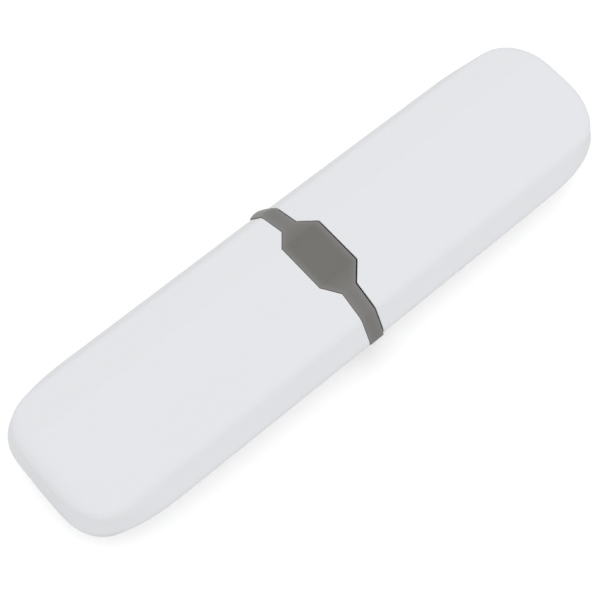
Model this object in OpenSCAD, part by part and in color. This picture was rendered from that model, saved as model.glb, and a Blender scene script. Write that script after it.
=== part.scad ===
// Travel case for an electric toothbrush: a white body and a white cap that meet at a grey collar.
// X runs along the case towards the cap, Z is up, and the origin is under the belt on the resting face.

/* [Case] */
// Length over both closed ends
case_l = 236; // [216:1:260]
// Height from the resting face to the top face
case_h = 33.8; // [32:0.1:38]
// Width over the sharp side corners at mid height
case_w = 62.6; // [60:0.1:70]
// Width of the flat top and bottom faces
top_w = 18.9; // [14:0.1:24]
// Width over the ridges between shoulders and sides
shoulder_w = 50.5; // [46:0.1:54]
// Drop from the top face to those ridges
shoulder_drop = 6.4; // [5:0.1:8]
// Thickness of both white shells
wall = 1.6; // [1.2:0.1:1.8]
// How far the closed ends lean in between mid height and the ridges
end_lean = 1; // [0:0.1:2]
// How far the top and bottom faces stop short of the closed ends
roll_l = 9.5; // [6:0.5:13]
// Length of the closed ends' corners along the case at mid height
corner_l = 36; // [24:0.5:44]
// Width of those corners across the case
corner_w = 18; // [12:0.5:20]
// Length of the corners at the ridges
ridge_corner_l = 13; // [8:0.5:20]
// Width of the corners at the ridges
ridge_corner_w = 21; // [12:0.5:21]
// Length of the corners of the top and bottom faces
top_corner_l = 8; // [4:0.5:10]
// Width of the corners of the top and bottom faces
top_corner_w = 6.5; // [4:0.5:6.5]
// Fullness of all these corners: 2 is an ellipse, and more is squarer
corner_power = 2.35; // [2:0.05:3]
// Rounding of the ridges on the white shells
ridge_r = 5; // [2:0.5:7]
// Rounding of the side corners on the white shells
side_r = 3.6; // [2:0.1:5]
// Draw-in of each side at the closed ends, for moulding
draft = 0.3; // [0:0.1:1]
// How much narrower the cap is than the body on each side
cap_inset = 0.4; // [0:0.1:0.6]

/* [Belt and neck] */
// Width of the grey belt along the case
belt_w = 6; // [5:0.1:8]
// Length of the eight-cornered pads along the case
pad_l = 16.3; // [13:0.1:20]
// Width of the pads over their outer corners
pad_w = 30.3; // [26:0.1:36]
// Rounding of the belt's ridges
crisp_r = 1.2; // [0.6:0.1:2]
// Gap between the body's mouth and the belt
seam = 0.15; // [0.1:0.05:0.3]
// Gap between the belt and the cap's mouth
part_gap = 0.65; // [0.3:0.05:0.8]
// How far the neck reaches into the cap from the belt's middle
neck_l = 18; // [16.5:0.5:24]
// How far the collar's sleeve reaches into the body from the belt's middle
sleeve_l = 13; // [12:0.5:18]
// Wall of the neck and the sleeve
neck_wall = 1.2; // [1:0.1:1.5]
// Gap between the neck and the inside of the cap
neck_clear = 0.5; // [0.4:0.05:0.6]
// Gap between the sleeve and the inside of the body
seat_clear = 0.15; // [0.1:0.05:0.3]
// Width of the soft ring round the neck
seal_w = 2; // [1.5:0.1:2.5]
// Depth of the ring's groove in the neck
seal_groove = 0.5; // [0.4:0.05:0.6]
// How far the ring stands above the neck
seal_proud = 0.2; // [0.1:0.05:0.2]
// Gap between the end of the neck and the ring's groove
seal_edge = 1.6; // [1.2:0.1:2]
// Size along the case of the lugs that hold the sleeve in the body
lug_l = 2; // [1.5:0.1:3]
// Width of the lugs
lug_w = 10; // [6:0.5:14]
// Height of the lugs above the sleeve
lug_h = 0.6; // [0.4:0.05:0.7]
// Gap round the lugs in their pockets
lug_clear = 0.1; // [0.05:0.05:0.2]

/* [Release button] */
// Height of the belt left between the button's pocket and the rounding of the ridges
button_margin = 0.15; // [0.1:0.05:3]
// How far the button's crown stands proud of the belt
button_proud = 1.0; // [0.3:0.05:1.2]
// Share of the crown's height that falls away towards the belt's edges
crown_fall = 0.65; // [0.5:0.05:1]
// Depth of the button's head behind the belt's surface
button_depth = 0.8; // [0.6:0.05:1]
// Travel of the button
button_travel = 1.1; // [1:0.05:1.2]
// Gap round the button in the belt
button_clear = 0.25; // [0.2:0.05:0.4]
// Size along the case of the stem behind the button
stem_l = 2.4; // [2:0.1:3]
// Height of the stem
stem_h = 3.6; // [3:0.1:4.4]
// Thickness of the latch plate
latch_t = 1.4; // [1.2:0.1:1.8]
// Height of the latch plate
latch_h = 5; // [4.6:0.1:5.6]
// Gap between the latch plate and the inside of the neck
latch_gap = 0.3; // [0.2:0.05:0.4]
// How far the plate reaches past the stem, away from the catch
latch_tail = 3; // [2:0.5:5]
// Distance from the cap's mouth to the catch
catch_reach = 5.5; // [5:0.1:6]
// Size along the case of the catch
catch_l = 2.5; // [2:0.1:3]
// Height of the catch
catch_h = 3.6; // [3:0.1:4.4]
// Gap between the catch and the cap's wall when the button is pressed in
catch_free = 0.6; // [0.4:0.05:0.7]
// Gap round the catch and the stem where they pass through the collar
catch_clear = 0.4; // [0.3:0.05:0.6]
// Thickness of the leaf spring
spring_t = 0.25; // [0.2:0.05:0.3]
// Height of the leaf spring between its two ends
spring_h = 11; // [9:0.5:13]
// Width of the leaf spring's strip on each side of the stem
spring_w = 0.8; // [0.6:0.1:0.9]
// Gap between the leaf spring and the back of the button
spring_clear = 0.1; // [0.05:0.05:0.2]

/* [Inside the body] */
// Diameter of the handle that the case holds
handle_d = 26; // [22:0.5:26]
// Gap between the handle and the pads
handle_clear = 0.1; // [0.1:0.05:0.5]
// Thickness of the soft pads
pad_t = 1; // [0.8:0.1:1.2]
// Width of the pads along the case
pad_band = 8; // [5:0.5:12]
// Angle that each pad wraps round the handle
pad_angle = 140; // [100:5:150]
// Gap between the cradle and the body
cradle_clear = 0.25; // [0.15:0.05:0.4]
// Thickness of the cradle's saddles
saddle_t = 2.4; // [1.8:0.1:3]
// Number of saddles
saddles = 3; // [2:1:5]
// Distance from the closed end to the first saddle
cradle_back = 16; // [15:0.5:24]
// Distance from the end of the sleeve to the last pad
cradle_front = 1; // [0.5:0.5:8]
// Thickness of the cradle's rails
rail_t = 2.4; // [1.8:0.1:3]
// Height of the rails
rail_h = 4; // [3:0.5:5]
// Distance of the rails' inner sides from the middle
rail_y = 17; // [16:0.5:19]
// Radius of the soft disc at the closed end
base_r = 8; // [5:0.5:8.5]
// Thickness of that disc
base_t = 2.5; // [1.5:0.5:4]

/* [Inside the cap] */
// Distance from the cap's closed end to the bulkhead
rack_back = 18; // [17:0.5:26]
// Thickness of the bulkhead
rack_t = 2.4; // [1.8:0.1:3]
// Gap between the bulkhead and the cap
rack_clear = 0.25; // [0.15:0.05:0.4]
// Distance of each brush head's peg from the middle
peg_y = 20; // [17:0.5:21]
// Radius of the pegs
peg_r = 2; // [1.6:0.1:2.4]
// Length of the pegs
peg_l = 12; // [8:0.5:16]
// Radius of the collar at the root of each peg
peg_root_r = 3.5; // [3:0.1:4.5]
// Height of that collar
peg_root_t = 1.5; // [1:0.1:2]
// Radius of the hole in the soft cup
cup_bore_r = 3.5; // [3:0.1:4.5]
// Wall of the soft cup
cup_wall = 3.4; // [2.5:0.1:3.5]
// Thickness of the cup's flange
cup_flange_t = 2; // [1.5:0.1:3]
// Width of the cup's flange past its hole in the bulkhead
cup_flange = 2; // [1:0.1:2.5]
// Gap between the cup and the bulkhead
cup_clear = 0.05; // [0.02:0.01:0.1]

/* [Hidden] */
$fn = 96;

white = "#e6e7ea";
grey = "#76756f";
dark = "#484b4e";
steel = "#b9bcc0";

// Steps of an arc at a ridge, of a closed end's corner and of half the button's crown
ridge_steps = 3;
end_steps = 9;
crown_steps = 5;
// Height between levels of the roll-over
level_step = 1.2;
// Smallest rounding of a deep ridge
least_r = 0.5;
// Reach of cutting shapes past what they cut
past = 1;
// Half of the case's width, height and length
half_w = case_w / 2;
half_h = case_h / 2;
half_l = case_l / 2;
// Closed ends of the two halves
BODY = -1;
CAP = 1;
// Sharp corners of the cross-section about its middle, anticlockwise
ridge_z = half_h - shoulder_drop;
CORNERS = [
    [half_w, 0],
    [shoulder_w / 2, ridge_z],
    [top_w / 2, half_h],
    [-top_w / 2, half_h],
    [-shoulder_w / 2, ridge_z],
    [-half_w, 0],
    [-shoulder_w / 2, -ridge_z],
    [-top_w / 2, -half_h],
    [top_w / 2, -half_h],
    [shoulder_w / 2, -ridge_z]
];
SIDE_CORNERS = [0, 5];
// Depth of the sleeve, the neck and the bore under the outer surface
sleeve_in = wall + seat_clear;
neck_in = wall + neck_clear;
bore_in = neck_in + neck_wall;
cap_narrow = (half_w - cap_inset) / half_w;
// Y of the side corner of the section at some depth under the surface, before rounding
function side_y(depth) = deep_corners(depth)[0][0];
bore_y = cap_narrow * side_y(bore_in);
// Draw-in of the sides for each millimetre away from mid height
side_lean = (half_w - shoulder_w / 2) / ridge_z;
latch_y = bore_y - side_lean * latch_h / 2 - latch_gap;
catch_bite = button_travel - catch_free;
catch_top = cap_narrow * side_y(wall) - side_lean * catch_h / 2 + catch_bite;
catch_x = belt_w / 2 + part_gap + catch_reach;
groove_x = catch_x + catch_l + catch_clear;
stem_hole_l = stem_l + 2 * catch_clear;
stem_hole_h = stem_h + 2 * catch_clear;
button_l = belt_w - 2 * button_clear;
// Lean of the side facets, turn at the ridges and how far down the ridges' rounding reaches
side_turn = atan2(half_w - shoulder_w / 2, ridge_z);
ridge_turn = 90 - side_turn - atan2(shoulder_drop, (shoulder_w - top_w) / 2);
ridge_reach = crisp_r * tan(ridge_turn / 2) * cos(side_turn);
button_h = 2 * (ridge_z - ridge_reach - button_margin - button_clear);
head_back = side_y(button_depth);
// Cradle and rack stations along X
cradle_x0 = -half_l + cradle_back;
cradle_x1 = -sleeve_l - cradle_front - (pad_band - saddle_t) / 2;
saddle_pitch = (cradle_x1 - cradle_x0 - saddle_t) / (saddles - 1);
saddle_r = handle_d / 2 + handle_clear + pad_t;
rack_x = half_l - rack_back;
cup_r = cup_bore_r + cup_wall;

// Unit vector from p to q
function unit(p, q) = (q - p) / norm(q - p);
// Normal of a direction, pointing left
function left(u) = [-u[1], u[0]];
// Corner q of the path p, q, r moved to the left of both its sides
function moved(p, q, r, depth) =
    let (m = left(unit(p, q)), n = left(unit(q, r)))
    q + depth * (m + n) / (1 + m * n);
// Closed path with every side moved to its left
function moved_path(path, depth) =
    let (n = len(path))
    [for (i = [0:n - 1]) moved(path[(i + n - 1) % n], path[i], path[(i + 1) % n], depth)];
// Sharp section corners at some depth under the outer surface
function deep_corners(depth) = moved_path(CORNERS, depth);
// Arc of radius r that rounds corner q of the path p, q, s
function arc(p, q, s, r) =
    let (
        m = left(unit(p, q)),
        n = left(unit(q, s)),
        c = moved(p, q, s, r),
        a = atan2(-m[1], -m[0]),
        turn = acos(min(1, m * n))
    )
    [for (k = [0:ridge_steps]) c + r * [cos(a + turn * k / ridge_steps), sin(a + turn * k / ridge_steps)]];
// Rounded section: at a depth, with ridge radius r and side corner radius s
function section(depth, r, s) =
    let (path = deep_corners(depth), n = len(path))
    [for (i = [0:n - 1])
        each arc(path[(i + n - 1) % n], path[i], path[(i + 1) % n],
            len(search(i, SIDE_CORNERS)) > 0 ? s : r)];
// Section of the belt at some depth
function crisp_section(depth) = section(depth, crisp_r, crisp_r);
// Rounding of a shell's ridge at some depth
function deep_r(r, depth) = max(r - depth, least_r);
// Section that follows the inside of the shells, for the sleeve and the neck
function inner_section(depth) = section(depth, deep_r(ridge_r, depth), deep_r(side_r, depth));
// Right side of a shell's section at some depth, from the bottom face up to the top face
function side_profile(depth) =
    let (
        path = deep_corners(depth),
        order = [7, 8, 9, 0, 1, 2, 3],
        r = deep_r(ridge_r, depth),
        s = deep_r(side_r, depth)
    )
    [for (i = [1:5])
        each arc(path[order[i - 1]], path[order[i]], path[order[i + 1]], order[i] == 0 ? s : r)];
// The same points with more levels between the ridges and the top and bottom faces
function level_profile(depth) =
    let (path = side_profile(depth), n = len(path), flat_z = deep_corners(depth)[1][1])
    [for (i = [0:n - 1])
        each let (
            p = path[i],
            q = path[min(i + 1, n - 1)],
            parts = max(abs(p[1]), abs(q[1])) > flat_z ? ceil((q[1] - p[1]) / level_step) : 1
        )
        [for (k = [0:max(parts, 1) - 1]) p + (q - p) * k / max(parts, 1)]];
// Value at a height, from its values at mid height, at the ridges and at the top
function by_height(z, depth, middle, ridge, top) =
    let (ridge_at = deep_corners(depth)[1][1], top_at = half_h - depth, h = abs(z))
    h < ridge_at
        ? middle + (ridge - middle) * h / ridge_at
        : ridge + (top - ridge) * min(1, (h - ridge_at) / (top_at - ridge_at));
// How far a closed end lies inside the end's furthest point at a height
function end_inset(z, depth) =
    let (lean = by_height(z, depth, 0, end_lean, end_lean), t = by_height(z, depth, 0, 0, 1))
    lean + (roll_l - end_lean) * (1 - sqrt(1 - t * t));
// Half length and corner of the outline at a height
function level_l(z, depth) = half_l - depth - end_inset(z, depth);
function level_corner_l(z, depth) =
    by_height(z, depth, corner_l, ridge_corner_l, top_corner_l) - depth;
function level_corner_w(z, depth) =
    by_height(z, depth, corner_w, ridge_corner_w, top_corner_w) - depth;
// Loss of half width at a distance along the case
function drawn(x) = draft * x / half_l;
// Half width at a station, of a level that is y wide at the belt
function level_y(x, y, z, depth) =
    let (
        l = level_corner_l(z, depth),
        w = level_corner_w(z, depth),
        u = min(1, max(0, 1 - (level_l(z, depth) - x) / l))
    )
    y - drawn(x) - w * (1 - pow(1 - pow(u, corner_power), 1 / corner_power));
// Width of a half as a share of the body's
function narrowed(half) = half == CAP ? cap_narrow : 1;
// Flat section of a half at a distance from the belt's middle, with heights from mid height
function flat_section(x, depth, half) =
    let (
        right = [for (q = side_profile(depth)) [narrowed(half) * level_y(x, q[0], q[1], depth), q[1]]],
        n = len(right)
    )
    concat(right, [for (i = [n - 1:-1:0]) [-right[i][0], right[i][1]]]);
// Outline of a half from above, at the height of a point q of its section
function level_outline(q, depth, half) =
    let (
        l = level_corner_l(q[1], depth),
        start = level_l(q[1], depth) - l,
        xs = [for (k = [0:end_steps]) start + l * pow(sin(90 * k / end_steps), 2 / corner_power)],
        side = concat([[0, q[0]]], [for (x = xs) [x, level_y(x, q[0], q[1], depth)]]),
        n = len(side)
    )
    concat(
        [for (i = [0:n - 1]) [side[i][0], -narrowed(half) * side[i][1], half_h + q[1]]],
        [for (i = [n - 1:-1:0]) [side[i][0], narrowed(half) * side[i][1], half_h + q[1]]]
    );

// Solid through a list of sections with as many points each, along X or up Z
module loft(sections) {
    n = len(sections[0]);
    m = len(sections);
    polyhedron(
        points = [for (s = sections) each s],
        faces = concat(
            [[for (i = [0:n - 1]) i]],
            [for (k = [0:m - 2], i = [0:n - 1])
                [k * n + i, (k + 1) * n + i, (k + 1) * n + (i + 1) % n]],
            [for (k = [0:m - 2], i = [0:n - 1])
                [k * n + i, (k + 1) * n + (i + 1) % n, k * n + (i + 1) % n]],
            [[for (i = [n - 1:-1:0]) (m - 1) * n + i]]
        )
    );
}

// Solid of one half at some depth, from the belt's middle to its closed end
module half_form(depth, half) {
    levels = [for (q = level_profile(depth)) level_outline(q, depth, half)];
    if (half == CAP)
        loft(levels);
    else
        mirror([1, 0, 0])
            loft(levels);
}

// Straight bar along X with a flat section given about the case's middle height
module bar_x(x0, x1, path) {
    translate([x0, 0, half_h])
        rotate([90, 0, 90])
            linear_extrude(height = x1 - x0)
                polygon(path);
}

// The same bar with its width drawn in to suit the cap
module cap_bar_x(x0, x1, path) {
    bar_x(x0, x1, [for (p = path) [p[0] * cap_narrow, p[1]]]);
}

// Outline of the belt with its pads from above, grown by some gap
function belt_outline(gap) =
    let (
        b = belt_w / 2,
        far = half_w + past,
        path = [
            [-b, -far], [b, -far], [b, -pad_w / 2], [pad_l / 2, -top_w / 2], [pad_l / 2, top_w / 2],
            [b, pad_w / 2], [b, far], [-b, far], [-b, pad_w / 2], [-pad_l / 2, top_w / 2],
            [-pad_l / 2, -top_w / 2], [-b, -pad_w / 2]
        ]
    )
    moved_path(path, -gap);

// Upright block with the belt's outline
module belt_block(gap) {
    translate([0, 0, -past])
        linear_extrude(height = case_h + 2 * past)
            polygon(belt_outline(gap));
}

// Block centred on the middle height, on the side that holds the button
module side_block(x0, x1, y0, y1, h) {
    translate([x0, y0, half_h - h / 2])
        cube([x1 - x0, y1 - y0, h]);
}

// Lugs on the sleeve's top and bottom, or their pockets with a gap round them
module lugs(gap) {
    lug_top = half_h - sleeve_in + lug_h + gap;
    translate([-sleeve_l + lug_l - gap, -lug_w / 2 - gap, half_h - lug_top])
        cube([lug_l + 2 * gap, lug_w + 2 * gap, 2 * lug_top]);
}

module body_shell() {
    color(white)
        difference() {
            half_form(0, BODY);
            half_form(wall, BODY);
            belt_block(seam);
            lugs(lug_clear);
        }
}

module cap_shell() {
    color(white)
        difference() {
            half_form(0, CAP);
            half_form(wall, CAP);
            belt_block(part_gap);
            side_block(0, groove_x, 0, catch_top + catch_clear, catch_h + 2 * catch_clear);
        }
}

module belt_collar() {
    color(grey)
        difference() {
            union() {
                intersection() {
                    bar_x(-pad_l, pad_l, crisp_section(0));
                    belt_block(0);
                }
                bar_x(-sleeve_l, 0, inner_section(sleeve_in));
                cap_bar_x(0, neck_l, inner_section(neck_in));
                lugs(0);
            }
            cap_bar_x(-sleeve_l - past, neck_l + past, inner_section(bore_in));
            seal_ring(seal_proud);
            button_pocket();
            side_block(-stem_hole_l / 2, stem_hole_l / 2, latch_y - past, half_w, stem_hole_h);
            side_block(
                catch_x - catch_clear, catch_x + catch_l + catch_clear,
                latch_y - past, half_w, catch_h + 2 * catch_clear
            );
        }
}

// Room in the belt for the button's head over its travel
module button_pocket() {
    difference() {
        side_block(-belt_w, belt_w, 0, half_w + past, button_h + 2 * button_clear);
        cap_bar_x(-belt_w - past, belt_w + past, inner_section(neck_in));
    }
}

// Ring round the neck between the groove's floor and a height above the neck
module seal_ring(height) {
    x1 = neck_l - seal_edge;
    difference() {
        cap_bar_x(x1 - seal_w, x1, inner_section(neck_in - height));
        cap_bar_x(x1 - seal_w - past, x1 + past, inner_section(neck_in + seal_groove));
    }
}

module neck_seal() {
    color(dark)
        seal_ring(seal_proud);
}

module release_button() {
    shares = [for (k = [-crown_steps:crown_steps]) k / crown_steps];
    color(grey)
        union() {
            intersection() {
                difference() {
                    loft([for (s = shares)
                        [for (p = section(-button_proud * (1 - crown_fall * s * s), crisp_r, crisp_r))
                            [s * button_l / 2, p[0], half_h + p[1]]]]);
                    bar_x(-belt_w, belt_w, crisp_section(button_depth));
                }
                side_block(-belt_w, belt_w, 0, half_w + 2 * past, button_h);
            }
            side_block(-stem_l / 2, stem_l / 2, latch_y, head_back, stem_h);
        }
}

module latch_plate() {
    color(grey)
        union() {
            side_block(-stem_l / 2 - latch_tail, catch_x + catch_l, latch_y - latch_t, latch_y, latch_h);
            side_block(catch_x, catch_x + catch_l, latch_y - latch_t, catch_top, catch_h);
        }
}

// Bent leaf that stands on the neck with both ends and passes the stem on both sides
module button_spring() {
    end_y = cap_narrow * (side_y(neck_in) - side_lean * spring_h / 2);
    top_y = max([for (p = crisp_section(button_depth)) p[0]]) - spring_clear;
    rise = [spring_h / 2, top_y - end_y];
    slant_t = spring_t * norm(rise) / rise[0];
    leaf = [
        [end_y, -rise[0]], [end_y + slant_t, -rise[0]], [top_y, 0],
        [end_y + slant_t, rise[0]], [end_y, rise[0]], [top_y - slant_t, 0]
    ];
    color(steel)
        difference() {
            bar_x(-stem_hole_l / 2 - spring_w, stem_hole_l / 2 + spring_w, leaf);
            side_block(-stem_hole_l / 2, stem_hole_l / 2, 0, half_w, stem_hole_h);
        }
}

// Rib across one half from x0, filling its section with a gap round it
module rib(x0, t, depth, half) {
    far = half == CAP ? x0 + t : -x0;
    bar_x(x0, x0 + t, flat_section(far, depth, half));
}

module handle_cradle() {
    color(white)
        difference() {
            union() {
                intersection() {
                    for (i = [0:saddles - 1])
                        rib(cradle_x0 + i * saddle_pitch, saddle_t, wall + cradle_clear, BODY);
                    translate([-half_l, -half_w, 0])
                        cube([half_l, case_w, half_h]);
                }
                for (side = [-1, 1])
                    translate([cradle_x0, side * (rail_y + rail_t / 2) - rail_t / 2, half_h - ridge_z])
                        cube([cradle_x1 - cradle_x0, rail_t, rail_h]);
            }
            translate([cradle_x0 - past, 0, half_h])
                rotate([0, 90, 0])
                    cylinder(r = saddle_r, h = cradle_x1 - cradle_x0 + 2 * past);
        }
}

module cradle_pads() {
    color(dark)
        for (i = [0:saddles - 1])
            translate([cradle_x0 + i * saddle_pitch + (saddle_t - pad_band) / 2, 0, half_h])
                rotate([0, 90, 0])
                    rotate([0, 0, -pad_angle / 2])
                        rotate_extrude(angle = pad_angle)
                            translate([saddle_r - pad_t, 0])
                                square([pad_t, pad_band]);
}

module base_pad() {
    color(dark)
        translate([-level_l(base_r, wall), 0, half_h])
            rotate([0, 90, 0])
                cylinder(r = base_r, h = base_t);
}

module head_rack() {
    color(white)
        difference() {
            union() {
                rib(rack_x, rack_t, wall + rack_clear, CAP);
                for (side = [-1, 1])
                    translate([rack_x, side * peg_y, half_h])
                        rotate([0, -90, 0]) {
                            cylinder(r = peg_r, h = peg_l);
                            cylinder(r = peg_root_r, h = peg_root_t);
                        }
            }
            translate([rack_x - past, 0, half_h])
                rotate([0, 90, 0])
                    cylinder(r = cup_r, h = rack_t + 2 * past);
        }
}

module shaft_cup() {
    color(dark)
        translate([rack_x - cup_flange_t, 0, half_h])
            rotate([0, 90, 0])
                difference() {
                    union() {
                        cylinder(r = cup_r + cup_flange, h = cup_flange_t);
                        cylinder(r = cup_r - cup_clear, h = cup_flange_t + rack_t);
                    }
                    translate([0, 0, -past])
                        cylinder(r = cup_bore_r, h = cup_flange_t + rack_t + 2 * past);
                }
}

body_shell();
belt_collar();
neck_seal();
release_button();
latch_plate();
button_spring();
handle_cradle();
cradle_pads();
base_pad();
cap_shell();
head_rack();
shaft_cup();
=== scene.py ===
import logging
import math
from dataclasses import dataclass, field
from enum import Enum, IntEnum

import bmesh
import bpy
import numpy as np
from mathutils import Matrix, Vector


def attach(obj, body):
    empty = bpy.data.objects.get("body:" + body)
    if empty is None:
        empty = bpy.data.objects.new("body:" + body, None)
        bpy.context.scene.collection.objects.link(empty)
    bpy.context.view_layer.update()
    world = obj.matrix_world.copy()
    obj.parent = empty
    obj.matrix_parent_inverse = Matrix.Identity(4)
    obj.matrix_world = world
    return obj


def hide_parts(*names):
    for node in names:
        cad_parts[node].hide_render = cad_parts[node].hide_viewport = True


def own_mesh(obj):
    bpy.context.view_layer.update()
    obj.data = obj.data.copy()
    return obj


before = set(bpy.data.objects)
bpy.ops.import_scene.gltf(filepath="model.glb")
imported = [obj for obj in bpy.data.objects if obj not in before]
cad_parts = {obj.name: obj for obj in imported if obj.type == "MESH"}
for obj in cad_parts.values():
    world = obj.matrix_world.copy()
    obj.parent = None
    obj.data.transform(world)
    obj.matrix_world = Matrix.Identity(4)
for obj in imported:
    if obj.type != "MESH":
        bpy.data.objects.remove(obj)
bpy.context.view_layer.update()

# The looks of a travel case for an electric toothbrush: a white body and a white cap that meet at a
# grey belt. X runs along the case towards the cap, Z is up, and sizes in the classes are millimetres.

MM = 0.001

# Points closer than WELD millimetres merge, and faces that turn by less than FLAT_ANGLE degrees join.
WELD = 0.002
FLAT_ANGLE = 0.5
WHITE = (1.0, 1.0, 1.0, 1.0)
LOG = logging.getLogger("travel_case")


class Half(Enum):
    """The two closed halves of the case, by the sign of their X."""

    BODY = -1
    CAP = 1


class Corner(IntEnum):
    """Corners of the cross-section, anticlockwise from the widest point of the +Y side."""

    SIDE = 0
    RIDGE = 1
    TOP = 2
    FAR_TOP = 3
    FAR_RIDGE = 4
    FAR_SIDE = 5
    FAR_LOW_RIDGE = 6
    FAR_FOOT = 7
    FOOT = 8
    LOW_RIDGE = 9


class Join(Enum):
    """What a tool shape does to a piece."""

    ADD = "UNION"
    CUT = "DIFFERENCE"


def unit_rows(vectors: np.ndarray) -> np.ndarray:
    """Unit vectors along each row."""
    return vectors / np.linalg.norm(vectors, axis=1, keepdims=True)


def inset(points: np.ndarray, depth: float) -> np.ndarray:
    """Moves every side of a closed anticlockwise outline inwards.

    Args:
        points: Corners, one row each.
        depth: How far each side moves to its left.

    Returns:
        The corners of the moved outline.
    """
    into = unit_rows(points - np.roll(points, 1, axis=0))
    away = unit_rows(np.roll(points, -1, axis=0) - points)
    m = np.stack([-into[:, 1], into[:, 0]], axis=1)
    n = np.stack([-away[:, 1], away[:, 0]], axis=1)
    return points + depth * (m + n) / (1 + np.sum(m * n, axis=1, keepdims=True))


def srgb(red: float, green: float, blue: float) -> tuple[float, float, float, float]:
    """Turns a screen colour into a linear one by the sRGB curve.

    Args:
        red: Red from 0 to 255.
        green: Green from 0 to 255.
        blue: Blue from 0 to 255.

    Returns:
        The opaque linear colour.
    """
    def linear(value: float) -> float:
        """Linear value of one channel."""
        share = value / 255
        return share / 12.92 if share <= 0.04045 else ((share + 0.055) / 1.055) ** 2.4
    return linear(red), linear(green), linear(blue), 1.0


@dataclass(frozen=True)
class CaseForm:
    """The outer form of the case, which the shells, the belt and the neck share."""

    length: float = 236.0
    height: float = 33.8
    width: float = 62.6
    top_width: float = 18.9
    shoulder_width: float = 50.5
    shoulder_drop: float = 6.4
    end_lean: float = 1.0
    roll: float = 8.7
    corner: tuple[float, float] = (35.6, 20.0)
    ridge_corner: tuple[float, float] = (17.4, 21.4)
    top_corner: tuple[float, float] = (5.0, 6.2)
    corner_power: float = 2.67
    ridge_radius: float = 5.0
    side_radius: float = 3.6
    crisp_radius: float = 1.2
    least_radius: float = 0.5
    draft: float = 0.3
    cap_inset: float = 0.4
    belt_width: float = 6.0
    pad_length: float = 16.3
    pad_width: float = 30.3
    arc_steps: int = 8

    @property
    def corner_count(self) -> int:
        """Number of the cross-section's corners."""
        return len(self.corners(0.0))

    @property
    def half_length(self) -> float:
        """Half of the case's length."""
        return self.length / 2

    @property
    def half_height(self) -> float:
        """Half of the case's height."""
        return self.height / 2

    @property
    def ridge_z(self) -> float:
        """Height of the ridges above mid height."""
        return self.half_height - self.shoulder_drop

    @property
    def cap_narrow(self) -> float:
        """Width of the cap as a share of the body's."""
        return 1 - 2 * self.cap_inset / self.width

    def narrow(self, half: Half) -> float:
        """Width of a half as a share of the body's."""
        return self.cap_narrow if half is Half.CAP else 1.0

    def corners(self, depth: float) -> np.ndarray:
        """Sharp corners of the cross-section about its middle.

        Args:
            depth: Depth under the outer surface.

        Returns:
            Corners as (Y, Z) rows, in the order of Corner.
        """
        side, ridge, top = self.width / 2, self.shoulder_width / 2, self.top_width / 2
        high = self.half_height
        sharp = [
            (side, 0), (ridge, self.ridge_z), (top, high), (-top, high), (-ridge, self.ridge_z),
            (-side, 0), (-ridge, -self.ridge_z), (-top, -high), (top, -high), (ridge, -self.ridge_z),
        ]
        return inset(np.array(sharp, float), depth)

    def deep_radii(self, depth: float) -> tuple[float, float]:
        """Roundings of the ridges and of the side corners at a depth under the surface."""
        return tuple(max(r - depth, self.least_radius) for r in (self.ridge_radius, self.side_radius))

    def arc(self, corner: int, depth: float, radius: float) -> np.ndarray:
        """Rounding of one corner of the cross-section.

        Args:
            corner: Number of the corner, anticlockwise from the side corner at +Y.
            depth: Depth of the section under the surface.
            radius: Radius of the rounding.

        Returns:
            Points (Y, Z) along the arc.
        """
        path = self.corners(depth)
        count = len(path)
        into = unit_rows((path[corner] - path[corner - 1])[None])[0]
        away = unit_rows((path[(corner + 1) % count] - path[corner])[None])[0]
        start = math.atan2(-into[0], into[1])
        turn = math.acos(min(1.0, float(into @ away)))
        centre = inset(path, radius)[corner]
        angles = start + turn * np.linspace(0, 1, self.arc_steps + 1)
        return centre + radius * np.stack([np.cos(angles), np.sin(angles)], axis=1)

    def run(self, order: list[int], depth: float, radii: tuple[float, float],
            shares: dict[int, np.ndarray]) -> np.ndarray:
        """Rounded cross-section along some corners.

        Args:
            order: Numbers of the corners to pass, in turn.
            depth: Depth under the outer surface.
            radii: Rounding of the ridges and of the side corners.
            shares: For each flat side, by the number of the corner before it, where along it there
                are points, as shares of its length.

        Returns:
            Points (Y, Z), as many for every depth.
        """
        side_corners = (Corner.SIDE, Corner.FAR_SIDE)
        arcs = [self.arc(k, depth, radii[1] if k in side_corners else radii[0]) for k in order]
        points = []
        for k, here in enumerate(arcs):
            points.append(here)
            last_of_open_run = k == len(order) - 1 and len(order) < self.corner_count
            if order[k] in shares and not last_of_open_run:
                ahead = arcs[(k + 1) % len(arcs)][0]
                points.append(here[-1] + (ahead - here[-1]) * shares[order[k]][:, None])
        return np.concatenate(points)

    def by_height(self, z: np.ndarray, depth: float, middle: float, ridge: float,
                  top: float) -> np.ndarray:
        """Value at some heights, from its values at three heights.

        Args:
            z: Heights from mid height.
            depth: Depth under the outer surface.
            middle: Value at mid height.
            ridge: Value at the ridges, which the value nears smoothly from mid height.
            top: Value at the top and the bottom, straight from the ridges.

        Returns:
            The value at each height.
        """
        ridge_at = self.corners(depth)[Corner.RIDGE][1]
        low = np.clip(np.abs(z) / ridge_at, 0, 1)
        high = np.clip((np.abs(z) - ridge_at) / (self.half_height - depth - ridge_at), 0, 1)
        return middle + (ridge - middle) * low * low * (3 - 2 * low) + (top - ridge) * high

    def reach(self, z: np.ndarray, depth: float) -> np.ndarray:
        """Distance from the belt's middle to the closed end.

        Args:
            z: Heights from mid height.
            depth: Depth under the outer surface.

        Returns:
            The distance at each height.
        """
        lean = self.by_height(z, depth, 0, self.end_lean, self.end_lean)
        high = self.by_height(z, depth, 0, 0, 1)
        return (self.half_length - depth - lean
                - (self.roll - self.end_lean) * (1 - np.sqrt(np.clip(1 - high * high, 0, 1))))

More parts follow.
